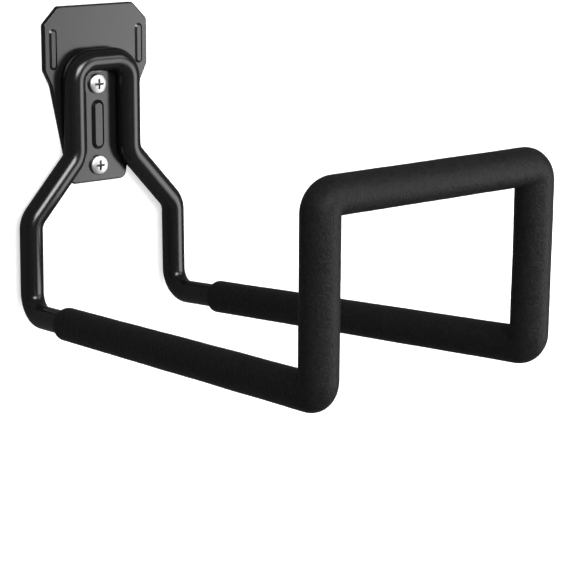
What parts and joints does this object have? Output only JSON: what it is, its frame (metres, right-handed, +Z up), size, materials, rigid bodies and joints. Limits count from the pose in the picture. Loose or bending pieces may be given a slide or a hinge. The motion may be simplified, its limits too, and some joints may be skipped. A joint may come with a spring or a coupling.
{
  "type": "hose hanger",
  "caption": "Wall hose hanger: bent steel tube loop welded to a stamped screw plate, with a foam sleeve on its arms and raised front bar that cradle a coiled hose.",
  "frame": {"origin": "on the wall plane, midway between the two mounting screws, at the back of the wall plate", "axes": "+Z up the wall, +Y into the wall, -Y out towards the front bar, +X to the right seen from the front"},
  "size_m": [0.158, 0.35, 0.1894],
  "materials": {
    "black_gloss_paint": "black semi-gloss powder coat",
    "black_foam": "matte closed-cell foam skin",
    "zinc_plated_steel": "bright zinc plating"
  },
  "bodies": {
    "root": {"wall_plate": "black_gloss_paint", "bent_tube": "black_gloss_paint", "foam_sleeve": "black_foam", "mounting_screws": "zinc_plated_steel"}
  },
  "joints": []
}
